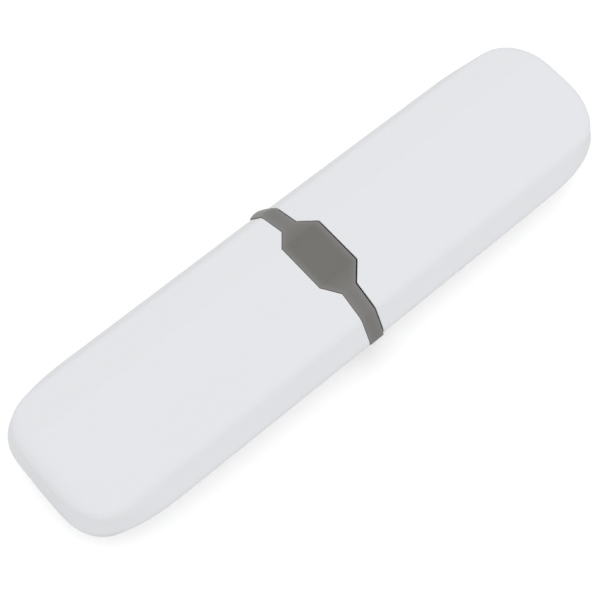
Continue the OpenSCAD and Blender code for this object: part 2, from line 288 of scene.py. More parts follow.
    def corner_size(self, z: np.ndarray, depth: float) -> tuple[np.ndarray, np.ndarray]:
        """Size of the closed end's corner, seen from above.

        Args:
            z: Heights from mid height.
            depth: Depth under the outer surface.

        Returns:
            The corner's length and its width at each height.
        """
        return tuple(
            self.by_height(z, depth, self.corner[k], self.ridge_corner[k], self.top_corner[k]) - depth
            for k in (0, 1)
        )

    def mouth_outline(self, gap: float) -> np.ndarray:
        """Corners of the belt's edge towards the cap.

        Args:
            gap: Gap between the belt's edge and the outline.

        Returns:
            Rows of the distance from the middle and X: the pad's corner, the belt's, the side.
        """
        far = self.width
        belt, pad = self.belt_width / 2, self.pad_length / 2
        path = np.array([
            (-belt, -far), (belt, -far), (belt, -self.pad_width / 2), (pad, -self.top_width / 2),
            (pad, self.top_width / 2), (belt, self.pad_width / 2), (belt, far), (-belt, far),
        ])
        grown = inset(path, -gap)
        return np.array([grown[4][::-1], grown[5][::-1], grown[6][::-1]])

    def mouth_x(self, y: np.ndarray, gap: float) -> np.ndarray:
        """Distance from the belt's middle to the belt's edge.

        Args:
            y: Distances from the middle across the case, of either sign.
            gap: Gap by which the belt's edge is grown.

        Returns:
            The distance along X at each Y.
        """
        outline = self.mouth_outline(gap)
        return np.interp(np.abs(y), outline[:, 0], outline[:, 1])


FORM = CaseForm()


@dataclass
class MeshPart:
    """Points and faces gathered for one mesh."""

    points: list[np.ndarray] = field(default_factory=list)
    faces: list[tuple[int, ...]] = field(default_factory=list)
    count: int = 0

    def add(self, rows: np.ndarray) -> np.ndarray:
        """Adds points.

        Args:
            rows: Points (X, Y, Z), in rows of any depth.

        Returns:
            The points' numbers, in the rows' own shape.
        """
        flat = rows.reshape(-1, 3)
        self.points.append(flat)
        numbers = np.arange(self.count, self.count + len(flat)).reshape(rows.shape[:-1])
        self.count += len(flat)
        return numbers

    def grid(self, rows: np.ndarray, closed: bool = False, looped: bool = False) -> None:
        """Adds a sheet of four-sided faces.

        Args:
            rows: Points, as rows of columns of (X, Y, Z).
            closed: Whether each row's last point joins its first.
            looped: Whether the last row joins the first row.
        """
        numbers = self.add(rows)
        if closed:
            numbers = np.concatenate([numbers, numbers[:, :1]], axis=1)
        if looped:
            numbers = np.concatenate([numbers, numbers[:1]], axis=0)
        for a, b in zip(numbers[:-1], numbers[1:]):
            self.faces += [(a[i], a[i + 1], b[i + 1], b[i]) for i in range(len(a) - 1)]

    def block(self, low: tuple[float, float, float], high: tuple[float, float, float]) -> None:
        """Adds a block.

        Args:
            low: Its lowest corner.
            high: Its highest corner.
        """
        spans = list(zip(low, high))
        rows = np.array([[[(spans[0][i], spans[1][j], spans[2][k]) for k in (0, 1)] for j in (0, 1)]
                         for i in (0, 1)])
        n = self.add(rows).reshape(-1)
        for face in ((0, 1, 3, 2), (4, 6, 7, 5), (0, 4, 5, 1), (2, 3, 7, 6), (0, 2, 6, 4), (1, 5, 7, 3)):
            self.faces.append(tuple(int(n[i]) for i in face))

    def build(self, name: str, weld: float = WELD) -> bpy.types.Object:
        """Makes the object in the scene, in metres, with its normals outwards.

        Args:
            name: Name of the object.
            weld: Distance under which points merge, in millimetres.

        Returns:
            The new object.
        """
        mesh = bpy.data.meshes.new(name)
        mesh.from_pydata((np.concatenate(self.points) * MM).tolist(), [],
                         [tuple(int(i) for i in f) for f in self.faces])
        work = bmesh.new()
        work.from_mesh(mesh)
        bmesh.ops.remove_doubles(work, verts=work.verts, dist=weld * MM)
        bmesh.ops.dissolve_degenerate(work, edges=work.edges, dist=weld * MM)
        bmesh.ops.recalc_face_normals(work, faces=work.faces)
        for face in work.faces:
            face.smooth = True
        work.to_mesh(mesh)
        work.free()
        piece = bpy.data.objects.new(name, mesh)
        bpy.context.scene.collection.objects.link(piece)
        return piece


def settle(piece: bpy.types.Object) -> bpy.types.Object:
    """Turns a piece's modifiers into its plain mesh.

    Args:
        piece: The piece.

    Returns:
        The same piece, with no modifiers.
    """
    graph = bpy.context.evaluated_depsgraph_get()
    made = bpy.data.meshes.new_from_object(piece.evaluated_get(graph), depsgraph=graph)
    old = piece.data
    piece.modifiers.clear()
    piece.data = made
    bpy.data.meshes.remove(old)
    return piece


def joined(piece: bpy.types.Object, tool: bpy.types.Object, how: Join) -> bpy.types.Object:
    """Adds a tool shape to a piece or cuts it out, and removes the tool.

    Args:
        piece: The piece.
        tool: The closed shape that is added or cut out.
        how: Which of the two is done.

    Returns:
        The same piece, with its new mesh.
    """
    change = piece.modifiers.new("shape", "BOOLEAN")
    change.operation = how.value
    change.solver = "EXACT"
    change.object = tool
    settle(piece)
    bpy.data.objects.remove(tool)
    return piece


def softened(piece: bpy.types.Object, width: float, angle: float = 35.0,
             steps: int = 3) -> bpy.types.Object:
    """Rounds a piece's sharp edges and evens its normals.

    Args:
        piece: The piece.
        width: Width of the rounding in millimetres.
        angle: Least angle of an edge that is rounded, in degrees.
        steps: Faces across the rounding.

    Returns:
        The same piece, with its new mesh.
    """
    bevel = piece.modifiers.new("edges", "BEVEL")
    bevel.width = width * MM
    bevel.segments = steps
    bevel.limit_method = "ANGLE"
    bevel.angle_limit = math.radians(angle)
    bevel.use_clamp_overlap = True
    return evened(settle(piece))


def evened(piece: bpy.types.Object) -> bpy.types.Object:
    """Lets large faces set the shading of the small ones beside them.

    Args:
        piece: The piece.

    Returns:
        The same piece, with its new normals.
    """
    piece.data.polygons.foreach_set("use_smooth", [True] * len(piece.data.polygons))
    piece.modifiers.new("shading", "WEIGHTED_NORMAL").keep_sharp = True
    return settle(piece)


def closed_path(loop: np.ndarray) -> bpy.types.Mesh:
    """Edges round a closed outline in the XY plane.

    Args:
        loop: The outline's points (X, Y), in millimetres.

    Returns:
        A mesh with no faces, in metres.
    """
    mesh = bpy.data.meshes.new("path")
    count = len(loop)
    edges = [(k, (k + 1) % count) for k in range(count)]
    mesh.from_pydata([(x, y, 0.0) for x, y in (loop * MM).tolist()], edges, [])
    return mesh


def dressed_copy(node: str, name: str, width: float) -> bpy.types.Object:
    """A copy of a construction piece with its triangles joined and its edges rounded.

    Args:
        node: Name of the node to copy.
        name: Name of the new piece.
        width: Width of the rounding in millimetres.

    Returns:
        The new piece.
    """
    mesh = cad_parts[node].data.copy()
    mesh.materials.clear()
    work = bmesh.new()
    work.from_mesh(mesh)
    bmesh.ops.remove_doubles(work, verts=work.verts, dist=WELD * MM)
    bmesh.ops.dissolve_limit(work, angle_limit=math.radians(FLAT_ANGLE), verts=work.verts,
                             edges=work.edges)
    work.to_mesh(mesh)
    work.free()
    mesh.name = name
    piece = bpy.data.objects.new(name, mesh)
    bpy.context.scene.collection.objects.link(piece)
    return softened(piece, width)


@dataclass(frozen=True)
class Plastic:
    """A plastic, rubber or steel with a fine texture and a slight unevenness of tone.

    The noises' scales are in waves per metre, and their depths in millimetres. Where a second colour is
    given, it is a paler copy blended over the plain colour by a point attribute, as painted highlight.
    """

    name: str
    colour: tuple[float, float, float, float]
    roughness: float
    tone: float = 0.985
    roughness_spread: float = 0.06
    mottle_scale: float = 38.0
    mottle_detail: float = 3.0
    gloss_scale: float = 140.0
    gloss_detail: float = 4.0
    wave_scale: float = 55.0
    wave_detail: float = 1.0
    wave_depth: float = 0.02
    grain_scale: float = 2600.0
    grain_detail: float = 2.0
    grain_depth: float = 0.006
    specular: float = 0.5
    metallic: float = 0.0
    # Paler colour of the painted highlight, blended in where the point attribute says.
    painted_highlight: tuple[float, float, float, float] | None = None

    def build(self) -> bpy.types.Material:
        """Makes the material.

        Returns:
            A material whose noise follows the piece's own coordinates.
        """
        material = bpy.data.materials.new(self.name)
        material.use_nodes = True
        tree = material.node_tree
        shader = tree.nodes["Principled BSDF"]
        shader.inputs["Metallic"].default_value = self.metallic
        shader.inputs["Specular IOR Level"].default_value = self.specular
        place = tree.nodes.new("ShaderNodeTexCoord")
        mottle = self.noise(tree, place, self.mottle_scale, self.mottle_detail)
        tones = self.mix(tree, self.colour, self.tone)
        tree.links.new(mottle.outputs["Fac"], tones.inputs["Factor"])
        if self.painted_highlight is None:
            tree.links.new(tones.outputs["Result"], shader.inputs["Base Color"])
        else:
            # Painted highlight: the paler colour blended over the plain one by the point attribute.
            highlight_tones = self.mix(tree, self.painted_highlight, self.tone)
            tree.links.new(mottle.outputs["Fac"], highlight_tones.inputs["Factor"])
            highlight_blend = self.mix(tree, self.colour, 1.0)
            edge = tree.nodes.new("ShaderNodeAttribute")
            edge.attribute_name = "painted_highlight_share"
            tree.links.new(tones.outputs["Result"], highlight_blend.inputs["A"])
            tree.links.new(highlight_tones.outputs["Result"], highlight_blend.inputs["B"])
            tree.links.new(edge.outputs["Fac"], highlight_blend.inputs["Factor"])
            tree.links.new(highlight_blend.outputs["Result"], shader.inputs["Base Color"])
        gloss = tree.nodes.new("ShaderNodeMapRange")
        gloss.inputs["To Min"].default_value = self.roughness - self.roughness_spread / 2
        gloss.inputs["To Max"].default_value = self.roughness + self.roughness_spread / 2
        patches = self.noise(tree, place, self.gloss_scale, self.gloss_detail)
        tree.links.new(patches.outputs["Fac"], gloss.inputs["Value"])
        tree.links.new(gloss.outputs["Result"], shader.inputs["Roughness"])
        swell = self.noise(tree, place, self.wave_scale, self.wave_detail)
        wave = self.bump(tree, swell, self.wave_depth, None)
        specks = self.noise(tree, place, self.grain_scale, self.grain_detail)
        grain = self.bump(tree, specks, self.grain_depth, wave)
        tree.links.new(grain.outputs["Normal"], shader.inputs["Normal"])
        return material

    @staticmethod
    def mix(tree: bpy.types.NodeTree, colour: tuple[float, float, float, float],
            tone: float) -> bpy.types.Node:
        """Adds a mix between a colour and the same colour at a darker tone.

        Args:
            tree: The material's nodes.
            colour: The linear colour.
            tone: The darker tone's share of the colour.

        Returns:
            The mix, which a factor of 1 turns dark.
        """
        node = tree.nodes.new("ShaderNodeMix")
        node.data_type = "RGBA"
        node.inputs["A"].default_value = colour
        node.inputs["B"].default_value = tuple(c * tone for c in colour[:3]) + (1.0,)
        return node

    @staticmethod
    def noise(tree: bpy.types.NodeTree, place: bpy.types.Node, scale: float,
              detail: float) -> bpy.types.Node:
        """Adds a noise over the piece's own coordinates.

        Args:
            tree: The material's nodes.
            place: Node that gives the coordinates.
            scale: Waves per metre.
            detail: How many finer layers the noise has.

        Returns:
            The noise.
        """
        node = tree.nodes.new("ShaderNodeTexNoise")
        node.inputs["Scale"].default_value = scale
        node.inputs["Detail"].default_value = detail
        tree.links.new(place.outputs["Object"], node.inputs["Vector"])
        return node

    @staticmethod
    def bump(tree: bpy.types.NodeTree, height: bpy.types.Node, depth: float,
             below: bpy.types.Node | None) -> bpy.types.Node:
        """Adds a bump from a noise.

        Args:
            tree: The material's nodes.
            height: The noise.
            depth: Depth in millimetres.
            below: Bump under this one, if there is one.

        Returns:
            The bump.
        """
        node = tree.nodes.new("ShaderNodeBump")
        node.inputs["Strength"].default_value = 1.0
        node.inputs["Distance"].default_value = depth * MM
        tree.links.new(height.outputs["Fac"], node.inputs["Height"])
        if below is not None:
            tree.links.new(below.outputs["Normal"], node.inputs["Normal"])
        return node


@dataclass
class NodeShape:
    """A geometry node tree with named inputs, whose result becomes a plain mesh."""

    name: str
    sizes: dict[str, float | int]
    tree: bpy.types.NodeTree = field(init=False)
    start: bpy.types.Node = field(init=False)

    def __post_init__(self) -> None:
        """Makes the tree with an input for each named size."""
        self.tree = bpy.data.node_groups.new(self.name, "GeometryNodeTree")
        face = self.tree.interface
        face.new_socket("Geometry", in_out="INPUT", socket_type="NodeSocketGeometry")
        face.new_socket("Geometry", in_out="OUTPUT", socket_type="NodeSocketGeometry")
        for label, size in self.sizes.items():
            kind = "NodeSocketInt" if isinstance(size, int) else "NodeSocketFloat"
            face.new_socket(label, in_out="INPUT", socket_type=kind)
        self.start = self.tree.nodes.new("NodeGroupInput")

    def node(self, kind: str, feeds: dict[str, bpy.types.NodeSocket | float | int],
             **options: str | bool) -> bpy.types.Node:
        """Adds a node.

        Args:
            kind: The node's type.
            feeds: For each of its inputs by name, the socket that feeds it or its value.
            options: Settings of the node, such as its mode.

        Returns:
            The new node.
        """
        node = self.tree.nodes.new(kind)
        for option, choice in options.items():
            setattr(node, option, choice)
        for label, feed in feeds.items():
            if isinstance(feed, bpy.types.NodeSocket):
                self.tree.links.new(feed, node.inputs[label])
            else:
                node.inputs[label].default_value = feed
        return node

    def size(self, label: str) -> bpy.types.NodeSocket:
        """Socket of a named input."""
        return self.start.outputs[label]

    def sweep(self, path: bpy.types.NodeSocket, corner_steps: int) -> bpy.types.NodeSocket:
        """Sweeps a rectangle with round corners along a flat path, and stands the path across X.

        Args:
            path: Geometry socket of the path, which lies in the XY plane.
            corner_steps: Points on each round corner.

        Returns:
            Geometry socket of the solid, with the sizes Depth, Width and Corner across the path.
        """
        flat = self.node("GeometryNodeSetCurveNormal", {"Curve": path}, mode="Z_UP")
        sharp = self.node("GeometryNodeCurvePrimitiveQuadrilateral",
                          {"Width": self.size("Depth"), "Height": self.size("Width")})
        profile = self.node("GeometryNodeFilletCurve",
                            {"Curve": sharp.outputs["Curve"], "Count": corner_steps,
                             "Radius": self.size("Corner")}, mode="POLY")
        solid = self.node("GeometryNodeCurveToMesh",
                          {"Curve": flat.outputs["Curve"], "Profile Curve": profile.outputs["Curve"],
                           "Fill Caps": True})
        place = self.node("ShaderNodeCombineXYZ", {"X": self.size("Across"), "Z": self.size("Lift")})
        quarter = math.pi / 2
        stood = self.node("GeometryNodeTransform",
                          {"Geometry": solid.outputs["Mesh"], "Translation": place.outputs["Vector"],
                           "Rotation": (quarter, 0.0, quarter)})
        return stood.outputs["Geometry"]

    def build(self, shape: bpy.types.NodeSocket, finish: bpy.types.Material,
              start: bpy.types.Mesh) -> bpy.types.Object:
        """Ends the tree in real geometry with its material, and runs it.

        Args:
            shape: Geometry socket of the finished shape.
            finish: The material.
            start: Mesh that the tree starts from.

        Returns:
            The piece, with a plain mesh.
        """
        real = self.node("GeometryNodeRealizeInstances", {"Geometry": shape})
        smooth = self.node("GeometryNodeSetShadeSmooth", {"Geometry": real.outputs["Geometry"]})
        painted = self.node("GeometryNodeSetMaterial", {"Geometry": smooth.outputs["Geometry"]})
        painted.inputs["Material"].default_value = finish
        end = self.tree.nodes.new("NodeGroupOutput")
        self.tree.links.new(painted.outputs["Geometry"], end.inputs["Geometry"])
        piece = bpy.data.objects.new(self.name, start)
        bpy.context.scene.collection.objects.link(piece)
        change = piece.modifiers.new("shape", "NODES")
        change.node_group = self.tree
        for socket in self.tree.interface.items_tree:
            if socket.name in self.sizes:
                change[socket.identifier] = self.sizes[socket.name]
        return evened(settle(piece))


WHITE_SHELL = Plastic("white_shell", srgb(230, 231, 234), 0.42)
# The grey belt's paler second colour is painted highlight, along the belt's edges and on its shoulders
# and sides.
GREY_COLLAR = Plastic("grey_collar", srgb(104, 103, 98), 0.3, tone=0.95, painted_highlight=srgb(126, 125, 124))
WHITE_INNER = Plastic("white_inner", srgb(224, 225, 228), 0.5)
SOFT_DARK = Plastic("soft_dark", srgb(72, 75, 78), 0.7, tone=0.9, specular=0.35)
SPRING_STEEL = Plastic("spring_steel", srgb(185, 188, 192), 0.3, tone=0.9, metallic=1.0)


def dress(piece: bpy.types.Object, finish: bpy.types.Material, slot: str, body: str,
          *nodes: str) -> bpy.types.Object:
    """Gives a piece its finish, its body and the construction pieces that it stands for.

    Args:
        piece: The piece, in place.
        finish: Its material.
        slot: Name of a material slot; not used.
        body: Name of the body that it rides on.
        nodes: Names of the nodes that it replaces.

    Returns:
        The same piece.
    """
    piece.data.materials.clear()
    piece.data.materials.append(finish)
    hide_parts(*nodes)
    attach(piece, body)
    LOG.info("%s: %d faces on %s", piece.name, len(piece.data.polygons), body)
    return piece


@dataclass(frozen=True)
class Shell:
    """One white half of the case: a faceted tube with a closed round end and a notched mouth."""

    half: Half
    gap: float
    wall: float = 1.6
    lip_radius: float = 0.25
    inner_chamfer: float = 0.12
    mouth_lean: float = 0.0
    lip_steps: int = 4
    straight_steps: int = 14
    corner_steps: int = 22
    face_columns: int = 8
    side_steps: int = 8
    roll_steps: int = 16

    def shares(self) -> dict[int, np.ndarray]:
        """Where the flat sides of the section have points.

        Returns:
            For each flat side, by the corner before it, shares of its length.
        """
        even = np.linspace(0, 1, self.side_steps + 1)[1:-1]
        high = np.sin(np.linspace(0, math.pi / 2, self.roll_steps + 1)[1:-1])
        return {Corner.FOOT: 1 - high[::-1], Corner.LOW_RIDGE: even, Corner.SIDE: even,
                Corner.RIDGE: high}

    def profile(self, depth: float) -> np.ndarray:
        """The section's +Y half, from the bottom face up to the top face.

        Args:
            depth: Depth under the outer surface.

        Returns:
            Points as (Y, Z) rows, as many for every depth.
        """
        order = [Corner.FOOT, Corner.LOW_RIDGE, Corner.SIDE, Corner.RIDGE, Corner.TOP]
        return self.with_notch(FORM.run(order, depth, FORM.deep_radii(depth), self.shares()))

    def with_notch(self, rows: np.ndarray) -> np.ndarray:
        """Adds rows where the mouth's notch has its corners.

        Args:
            rows: The section's half, as (Y, Z) rows.

        Returns:
            The same path with a point at each corner of the notch.
        """
        path = rows
        for at in FORM.mouth_outline(self.gap)[:2, 0]:
            for sign in (-1, 1):
                found = [k for k in range(len(path) - 1)
                         if sign * path[k][1] > 0 and sign * path[k + 1][1] > 0
                         and (path[k][0] - at) * (path[k + 1][0] - at) <= 0
                         and path[k][0] != path[k + 1][0]]
                k = found[0]
                share = (at - path[k][0]) / (path[k + 1][0] - path[k][0])
                point = path[k] + share * (path[k + 1] - path[k])
                path = np.insert(path, k + 1, point, axis=0)
        return path

    def place(self, x: np.ndarray, rows: np.ndarray, depth: float) -> np.ndarray:
        """Points of the half's +Y side.

        Args:
            x: Distance from the belt's middle, one for each row.
            rows: The section's half at the belt, as (Y, Z) rows.
            depth: Depth of the surface.

        Returns:
            Points (X, Y, Z) before the half is turned to its own side.
        """
        length, width = FORM.corner_size(rows[:, 1], depth)
        along = np.clip(1 - (FORM.reach(rows[:, 1], depth) - x) / length, 0, 1)
        power = FORM.corner_power
        y = (rows[:, 0] - FORM.draft * x / FORM.half_length
             - width * (1 - (1 - along ** power) ** (1 / power)))
        return np.stack([x, y, rows[:, 1]], axis=1)

    def skin(self, depth: float, gap: float) -> list[np.ndarray]:
        """Stations of one surface from the mouth to the closed end.

        Args:
            depth: Depth of the surface.
            gap: Gap between the belt's edge and where the surface starts.

        Returns:
            The +Y half's points at each station.
        """
        rows = self.profile(depth)
        length, _ = FORM.corner_size(rows[:, 1], depth)
        start = FORM.mouth_x(rows[:, 0], gap)
        turn = FORM.reach(rows[:, 1], depth) - length
        steps = np.linspace(0, 1, self.straight_steps + 1)
        xs = [start + (turn - start) * s for s in steps]
        angles = np.linspace(0, math.pi / 2, self.corner_steps + 1)[1:]
        xs += [turn + length * math.sin(a) ** (2 / FORM.corner_power) for a in angles]
        return [self.place(x, rows, depth) for x in xs]

    def lip(self) -> list[np.ndarray]:
        """Stations round the mouth's edge.

        Returns:
            The +Y half's points at each station, from the inside to the outside.
        """
        stations = []
        edge = [(self.gap, self.wall - self.inner_chamfer)]
        for a in np.linspace(0, math.pi / 2, self.lip_steps + 1):
            drop = self.lip_radius * (1 - math.sin(a))
            edge.append((self.gap + self.lip_radius * (1 - math.cos(a)), drop))
        for gap, depth in edge[:-1]:
            rows = self.profile(depth)
            stations.append(self.place(FORM.mouth_x(rows[:, 0], gap), rows, depth))
        return stations

    def leaned(self, points: np.ndarray) -> np.ndarray:
        """Points moved towards the belt, most at the mouth's +Y side and not at all at the end."""
        share = (0.5 + points[:, 1] / FORM.width) * (1 - points[:, 0] / FORM.half_length)
        return points - np.outer(self.mouth_lean * share, (1.0, 0.0, 0.0))

    def build(self, name: str) -> bpy.types.Object:
        """Makes the shell's mesh.

        Args:
            name: Name of the piece.

        Returns:
            The piece, closed all round.
        """
        inside = self.skin(self.wall, self.gap + self.inner_chamfer)[::-1]
        outside = self.skin(0.0, self.gap + self.lip_radius)
        sides = inside + self.lip() + outside
        shares = np.linspace(0, 1, self.face_columns + 1)[:, None]
        flip = np.array([1.0, -1.0, 1.0])
        narrow = np.array([self.half.value, FORM.narrow(self.half), 1.0])
        lift = np.array([0.0, 0.0, FORM.half_height])
        part = MeshPart()
        rings = []
        for right in sides:
            left = right * flip
            right, left = self.leaned(right), self.leaned(left)
            top = right[-1] + (left[-1] - right[-1]) * shares[1:-1]
            low = left[0] + (right[0] - left[0]) * shares[1:-1]
            rings.append(np.concatenate([right, top, left[::-1], low]) * narrow + lift)
        part.grid(np.array(rings), closed=True)
        for right in (sides[0], sides[-1]):
            left = self.leaned(right * flip)
            right = self.leaned(right)
            face = right[:, None] + (left - right)[:, None] * shares[None]
            part.grid(face * narrow + lift)
        return part.build(name)


@dataclass(frozen=True)
class Collar:
    """The grey belt with its pads, the sleeve in the body and the neck that the cap slides over."""

    wall: float = 1.6
    neck_clear: float = 0.5
    seat_clear: float = 0.15
    body_gap: float = 0.15
    neck_wall: float = 1.2
    neck_length: float = 18.0
    sleeve_length: float = 13.0
    seal_width: float = 2.0
    seal_groove: float = 0.5
    seal_edge: float = 1.6
    edge_radius: float = 0.25
    edge_steps: int = 4
    # Painted highlight on the belt and its button: full along the belt's edges and fading inwards,
    # carried across the pads by the extra rings just inside the edges, with a lesser, even painted
    # highlight on the shoulders and sides.
    highlight_fade: float = 1.2
    pad_steps: int = 6
    edge_rings: tuple[float, ...] = (0.6, 1.1, 1.8, 2.6)
    side_highlight: float = 0.45
    side_highlight_blend: float = 1.2
    button_height: float = 19.48
    button_clear: float = 0.25
    neck_chamfer: float = 0.3

    @property
    def neck_depth(self) -> float:
        """Depth of the neck under the outer surface."""
        return self.wall + self.neck_clear

    @property
    def bore_depth(self) -> float:
        """Depth of the neck's bore under the outer surface."""
        return self.neck_depth + self.neck_wall

    @property
    def pocket_half(self) -> float:
        """Half height of the button's pocket."""
        return self.button_height / 2 + self.button_clear

    def shares(self) -> dict[int, np.ndarray]:
        """Where the flat sides of the section have points: at the pads' corners and the pocket.

        Returns:
            For each flat side, by the corner before it, shares of its length.
        """
        crisp = FORM.run(list(range(FORM.corner_count)), 0.0, (FORM.crisp_radius,) * 2, {})
        steps = FORM.arc_steps + 1
        ends = [(crisp[(k + 1) * steps - 1], crisp[((k + 1) * steps) % len(crisp)])
                for k in range(FORM.corner_count)]
        (first_y, _), (last_y, _) = ends[Corner.RIDGE]
        share = (first_y - FORM.pad_width / 2) / (first_y - last_y)
        (_, first_z), (_, last_z) = ends[Corner.SIDE]
        pocket = (self.pocket_half - first_z) / (last_z - first_z)
        flat = np.linspace(0, 1, self.pad_steps + 1)[1:-1]
        near, far = np.array([share]), np.array([1 - share])
        return {
            Corner.SIDE: np.array([pocket, pocket]), Corner.RIDGE: near, Corner.TOP: flat,
            Corner.FAR_TOP: far, Corner.FAR_LOW_RIDGE: near, Corner.FAR_FOOT: flat,
            Corner.FOOT: far, Corner.LOW_RIDGE: np.array([1 - pocket, 1 - pocket]),
        }

    def ring(self, x: np.ndarray | float, depth: float, inner: bool, narrow: float) -> np.ndarray:
        """One closed ring of the collar.

        Args:
            x: X of the points.
            depth: Depth under the outer surface.
            inner: Whether the ring follows the inside of the shells and not the belt's crisp ridges.
            narrow: Width as a share of the body's.

        Returns:
            Points (X, Y, Z).
        """
        radii = FORM.deep_radii(depth) if inner else (FORM.crisp_radius,) * 2
        loop = FORM.run(list(range(FORM.corner_count)), depth, radii, self.shares())
        points = np.empty((len(loop), 3))
        points[:, 0] = x
        points[:, 1] = loop[:, 0] * narrow
        points[:, 2] = loop[:, 1] + FORM.half_height
        return points

    def in_pocket(self) -> np.ndarray:
        """Which points of a ring lie on the pocket's floor.

        Returns:
            True or false for each point.
        """
        count = len(self.ring(0.0, 0.0, False, 1.0))
        inside = np.zeros(count, bool)
        inside[:FORM.arc_steps + 2] = True
        inside[-1] = True
        return inside

    def build(self, name: str) -> bpy.types.Object:
        """Makes the collar's mesh before its holes.

        Args:
            name: Name of the piece.

        Returns:
            The piece, closed all round.
        """
        narrow = FORM.cap_narrow
        sleeve_depth = self.wall + self.seat_clear
        y = self.ring(0.0, 0.0, False, 1.0)[:, 1]
        neck = self.neck_depth
        pocket = self.in_pocket()[:, None]
        belt = FORM.mouth_x(y, 0.0)
        floor_left = self.ring(-belt, neck, True, narrow)
        floor_right = self.ring(belt, neck, True, narrow)
        rings = [self.ring(-self.sleeve_length, self.bore_depth, True, narrow)]
        for x, depth in ((-self.sleeve_length, sleeve_depth + self.neck_chamfer),
                         (-self.sleeve_length + self.neck_chamfer, sleeve_depth)):
            rings.append(self.ring(x, depth, True, 1.0))
        rings.append(self.ring(-belt, sleeve_depth, True, 1.0))
        arc = np.linspace(0, math.pi / 2, self.edge_steps + 1)
        for a in arc:
            x = -FORM.mouth_x(y, -self.edge_radius * (1 - math.cos(a)))
            shape = self.ring(x, self.edge_radius * (1 - math.sin(a)), False, 1.0)
            rings.append(np.where(pocket, floor_left, shape))
        for side, floor in ((-1, floor_left), (1, floor_right)):
            for inward in self.edge_rings[::-side]:
                flat = self.ring(side * FORM.mouth_x(y, -inward), 0.0, False, 1.0)
                rings.append(np.where(pocket, floor, flat))
        for a in arc[::-1]:
            x = FORM.mouth_x(y, -self.edge_radius * (1 - math.cos(a)))
            shape = self.ring(x, self.edge_radius * (1 - math.sin(a)), False, 1.0)
            rings.append(np.where(pocket, floor_right, shape))
        groove = self.neck_length - self.seal_edge
        steps = [
            (belt, neck), (groove - self.seal_width, neck),
            (groove - self.seal_width, neck + self.seal_groove), (groove, neck + self.seal_groove),
            (groove, neck), (self.neck_length - self.neck_chamfer, neck),
            (self.neck_length, neck + self.neck_chamfer), (self.neck_length, self.bore_depth),
        ]
        rings += [self.ring(x, depth, True, narrow) for x, depth in steps]
        part = MeshPart()
        part.grid(np.array(rings), closed=True, looped=True)
        return part.build(name)

    def shade(self, piece: bpy.types.Object) -> bpy.types.Object:
        """Paints highlight onto a piece of the belt: a share at each point, full along the belt's edges
        and fading inwards, and a lesser share on the shoulders and sides.

        Args:
            piece: A piece of the belt, with its final mesh.

        Returns:
            The same piece.
        """
        count = len(piece.data.vertices)
        at = np.empty(count * 3)
        piece.data.vertices.foreach_get("co", at)
        x, y, _ = np.abs(at.reshape(-1, 3).T / MM)
        # Painted highlight: full at the belt's edges, fading inwards; the shoulders and sides also get a
        # lesser, even painted highlight.
        inward = np.clip(FORM.mouth_x(y, 0.0) - x - self.edge_radius, 0, None)
        edge = np.exp(-inward / self.highlight_fade)
        side = self.side_highlight * np.clip((y - FORM.top_width / 2) / self.side_highlight_blend, 0, 1)
        painted_highlight = piece.data.attributes.new("painted_highlight_share", "FLOAT", "POINT")
        painted_highlight.data.foreach_set("value", side + (1 - side) * edge)
        return piece


